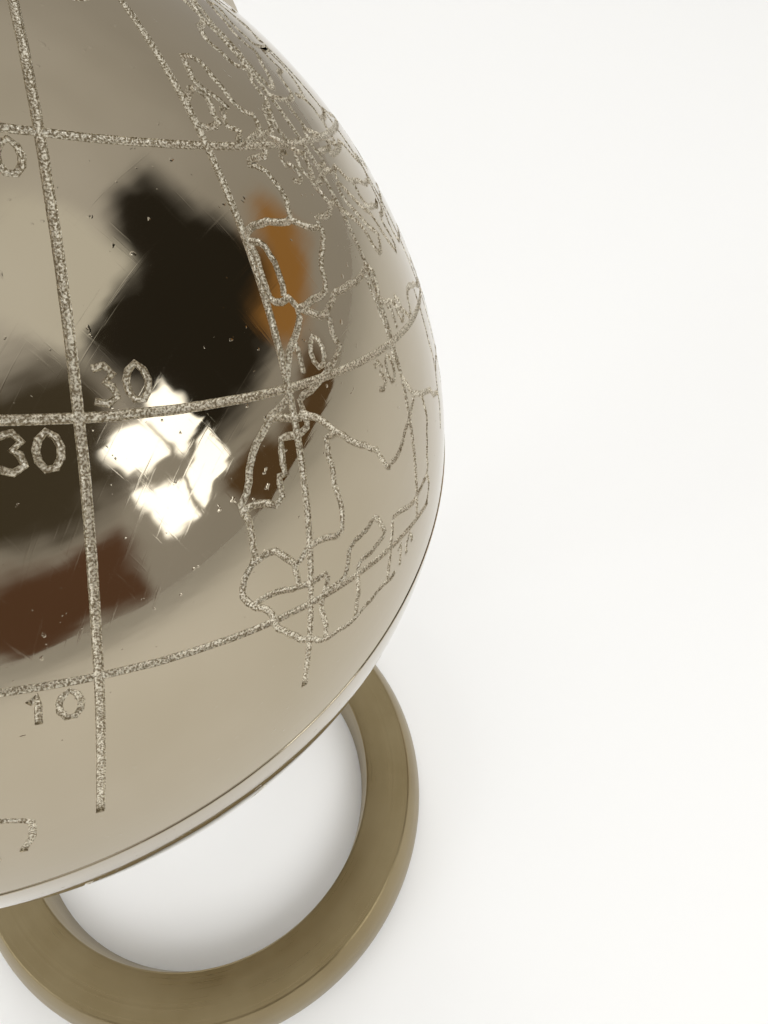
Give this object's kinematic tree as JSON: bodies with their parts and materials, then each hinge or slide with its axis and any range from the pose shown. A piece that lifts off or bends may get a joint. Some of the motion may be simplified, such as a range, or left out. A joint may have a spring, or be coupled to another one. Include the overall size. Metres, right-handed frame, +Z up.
{
  "type": "desk globe",
  "caption": "Small metal desk globe with a sunk map, turning on a tilted axis in a C-shaped arm, on a post and an open ring base.",
  "frame": {"origin": "centre of the ring's felt underside, where the globe rests on a table", "axes": "+Z up; +X towards the side that the globe's upper pole leans to, where the arm and the post stand"},
  "size_m": [0.1274, 0.1274, 0.2302],
  "materials": {
    "polished_shell": "mirror-polished champagne plating over spun metal, map sunk and granular",
    "polished_trim": "polished champagne plating",
    "satin_brass": "satin, dark champagne-brass",
    "steel": "turned",
    "bronze": "turned bronze",
    "nylon": "natural nylon",
    "felt": "pressed felt"
  },
  "bodies": {
    "stand": {"meridian_arm": "satin_brass", "upper_pivot_pin": "steel", "lower_pivot_pin": "steel", "upper_thrust_washer": "nylon", "lower_thrust_washer": "nylon", "upper_lock_washer": "steel", "lower_lock_washer": "steel", "upper_cap_nut": "polished_trim", "lower_cap_nut": "polished_trim", "support_post": "satin_brass", "arm_screws": "steel", "base_ring": "satin_brass", "post_screws": "steel", "base_felt": "felt"},
    "globe": {"upper_shell": "polished_shell", "lower_shell": "polished_shell", "joining_band": "satin_brass", "axle_tube": "bronze", "upper_collar": "polished_trim", "lower_collar": "polished_trim", "upper_back_nut": "steel", "lower_back_nut": "steel", "upper_bush": "bronze", "lower_bush": "bronze"}
  },
  "joints": [
    {"name": "globe_spin", "type": "hinge", "parent": "stand", "child": "globe", "pos_m": [0, 0, 0.172], "axis": [0.3987, 0, 0.9171], "continuous": true}
  ]
}
